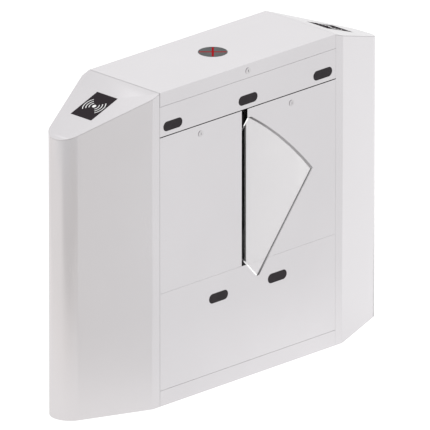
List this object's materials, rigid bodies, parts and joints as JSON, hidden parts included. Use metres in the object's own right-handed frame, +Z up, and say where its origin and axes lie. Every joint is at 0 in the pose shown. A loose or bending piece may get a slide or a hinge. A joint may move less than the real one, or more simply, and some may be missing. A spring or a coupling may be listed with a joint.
{
  "type": "visitor counter turnstile",
  "caption": "Flap-barrier turnstile cabinet with a clear flap that swings out of its front slot, sloped reader ends, service doors and a hinged lid.",
  "frame": {"origin": "on the floor, at the centre of the anchor-hole pattern in the base plate", "axes": "+Z up, +X along the cabinet's length, the flap and the service doors are on the -Y face"},
  "size_m": [1.3346, 0.5902, 1.0003],
  "materials": {
    "cabinet_sheet": "fine brushed, satin",
    "clear_flap": "clear polished acrylic",
    "dark_window": "smoked gloss",
    "indicator_glass": "smoked gloss",
    "indicator_red": "lit red diffuser",
    "circuit_board": "green solder mask",
    "black_plastic": "moulded",
    "frame_paint": "dark grey powder coat",
    "zinc_plate": "zinc plated",
    "machined_steel": "machined",
    "bolt_steel": "zinc plated",
    "lock_chrome": "polished nickel",
    "hinge_steel": "satin",
    "bearing_iron": "painted casting",
    "gearbox_metal": "die cast",
    "motor_paint": "black enamel",
    "rubber": "moulded",
    "control_plastic": "light grey moulded",
    "supply_case": "perforated case",
    "terminal_plastic": "grey moulded"
  },
  "bodies": {
    "cabinet": {"base_plate": "frame_paint", "base_strips": "cabinet_sheet", "bearing_bolts": "bolt_steel", "bearing_plate": "zinc_plate", "cable_grommet": "rubber", "control_box": "control_plastic", "drive_plate": "zinc_plate", "earth_stud": "bolt_steel", "end_cover_left": "cabinet_sheet", "end_cover_right": "cabinet_sheet", "equipment_plate": "zinc_plate", "flange_bearings": "bearing_iron", "frame_posts": "frame_paint", "frame_rails": "frame_paint", "gearbox": "gearbox_metal", "lid_hinge_fixed_leaves": "hinge_steel", "lid_hinge_pins": "hinge_steel", "limit_bumpers": "rubber", "limit_sensors": "black_plastic", "lock_keepers": "zinc_plate", "lower_front_panel": "cabinet_sheet", "mechanism_base": "frame_paint", "mechanism_legs": "frame_paint", "motor": "motor_paint", "power_supply": "supply_case", "reader_modules": "black_plastic", "reader_panel_left": "cabinet_sheet", "reader_panel_right": "cabinet_sheet", "reader_window_left": "dark_window", "reader_window_right": "dark_window", "rear_panel": "cabinet_sheet", "sensor_modules": "black_plastic", "sensor_strip": "cabinet_sheet", "sensor_windows": "dark_window", "terminal_blocks": "terminal_plastic", "terminal_rail": "zinc_plate"},
    "flap": {"flap": "clear_flap", "flap_clamp_plates": "machined_steel", "flap_hub": "machined_steel", "clamp_bolts": "bolt_steel", "flap_shaft": "machined_steel", "swing_lever": "machined_steel", "sensor_flag": "machined_steel"},
    "crank": {"motor_crank": "machined_steel", "output_shaft": "machined_steel"},
    "link": {"drive_link": "machined_steel"},
    "lid": {"lid": "cabinet_sheet", "lid_hinge_moving_leaves": "hinge_steel", "indicator_lens": "indicator_glass", "indicator_cross": "indicator_red", "indicator_housing": "black_plastic", "indicator_board": "circuit_board", "lock_barrel_lid": "lock_chrome"},
    "door_left": {"door_left": "cabinet_sheet", "lock_barrel_left": "lock_chrome"},
    "door_right": {"door_right": "cabinet_sheet", "lock_barrel_right": "lock_chrome"},
    "lid_lock": {"lock_plug_lid": "lock_chrome"},
    "door_left_lock": {"lock_plug_left": "lock_chrome"},
    "door_right_lock": {"lock_plug_right": "lock_chrome"}
  },
  "joints": [
    {"name": "flap_swing", "type": "hinge", "parent": "cabinet", "child": "flap", "pos_m": [-0.01465, -0.1, 0.237], "axis": [-1, 0, 0], "range_deg": [0, 29.5]},
    {"name": "crank_turn", "type": "hinge", "parent": "cabinet", "child": "crank", "pos_m": [0.027, 0.055, 0.2], "axis": [-1, 0, 0], "range_deg": [0, 29.5]},
    {"name": "link_turn", "type": "hinge", "parent": "crank", "child": "link", "pos_m": [0.019, 0.055, 0.15], "axis": [-1, 0, 0], "range_deg": [-29.5, 0]},
    {"name": "lid_hinge", "type": "hinge", "parent": "cabinet", "child": "lid", "pos_m": [0, 0.1536, 0.955], "axis": [-1, 0, 0], "range_deg": [0, 85]},
    {"name": "door_left_tilt", "type": "hinge", "parent": "cabinet", "child": "door_left", "pos_m": [-0.2, -0.15, 0.36], "axis": [1, 0, 0], "range_deg": [0, 80]},
    {"name": "door_right_tilt", "type": "hinge", "parent": "cabinet", "child": "door_right", "pos_m": [0.1855, -0.15, 0.36], "axis": [1, 0, 0], "range_deg": [0, 80]},
    {"name": "lid_lock_turn", "type": "hinge", "parent": "lid", "child": "lid_lock", "pos_m": [0, -0.14, 0.978], "axis": [0, 1, 0], "range_deg": [0, 90]},
    {"name": "door_left_lock_turn", "type": "hinge", "parent": "door_left", "child": "door_left_lock", "pos_m": [-0.2, -0.14, 0.828], "axis": [0, 1, 0], "range_deg": [0, 90]},
    {"name": "door_right_lock_turn", "type": "hinge", "parent": "door_right", "child": "door_right_lock", "pos_m": [0.1855, -0.14, 0.828], "axis": [0, 1, 0], "range_deg": [0, 90]}
  ],
  "couplings": [
    {"joint": "crank_turn", "follows": "flap_swing", "ratio": 1},
    {"joint": "link_turn", "follows": "flap_swing", "ratio": -1}
  ]
}
